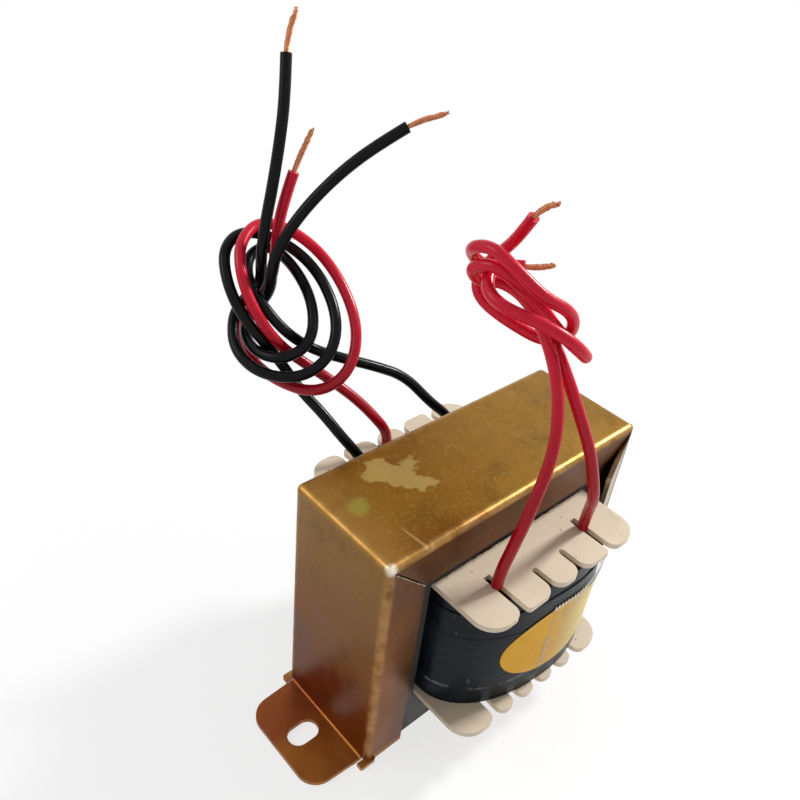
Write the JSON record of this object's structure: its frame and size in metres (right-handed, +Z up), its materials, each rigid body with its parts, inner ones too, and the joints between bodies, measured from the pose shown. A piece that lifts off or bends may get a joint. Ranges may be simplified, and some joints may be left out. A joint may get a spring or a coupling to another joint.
{
  "type": "laminated chassis transformer",
  "caption": "Laminated mains-frequency transformer in a folded channel frame with slotted feet and knotted flying leads in red and black.",
  "frame": {"origin": "on the mounting plane, centred between the two feet", "axes": "+X along the feet, -Y towards the primary side with the label, +Z up from the mounting plane"},
  "size_m": [0.0922, 0.0808, 0.126],
  "materials": {
    "passivated_steel": "yellow passivated steel, semi-gloss",
    "core_steel": "varnished electrical steel edges",
    "cream_nylon": "satin moulded plastic",
    "enamelled_copper": "enamelled copper wire",
    "wrap_film": "glossy polyester tape",
    "label_card": "bare yellow label",
    "clear_film": "clear tape",
    "red_pvc": "glossy red insulation",
    "black_pvc": "glossy black insulation",
    "bare_copper": "twisted bare strands"
  },
  "bodies": {
    "root": {"chassis_frame": "passivated_steel", "e_laminations": "core_steel", "i_laminations": "core_steel", "bobbin": "cream_nylon", "primary_winding": "enamelled_copper", "barrier_tape": "wrap_film", "secondary_winding": "enamelled_copper", "outer_wrap": "wrap_film", "label": "label_card", "label_film": "clear_film", "red_left_tail": "enamelled_copper", "red_left_lead": "red_pvc", "red_left_bare_end": "bare_copper", "red_right_tail": "enamelled_copper", "red_right_lead": "red_pvc", "red_right_bare_end": "bare_copper", "black_left_tail": "enamelled_copper", "black_left_lead": "black_pvc", "black_left_bare_end": "bare_copper", "centre_tap_tail": "enamelled_copper", "centre_tap_lead": "red_pvc", "centre_tap_bare_end": "bare_copper", "black_right_tail": "enamelled_copper", "black_right_lead": "black_pvc", "black_right_bare_end": "bare_copper"}
  },
  "joints": []
}
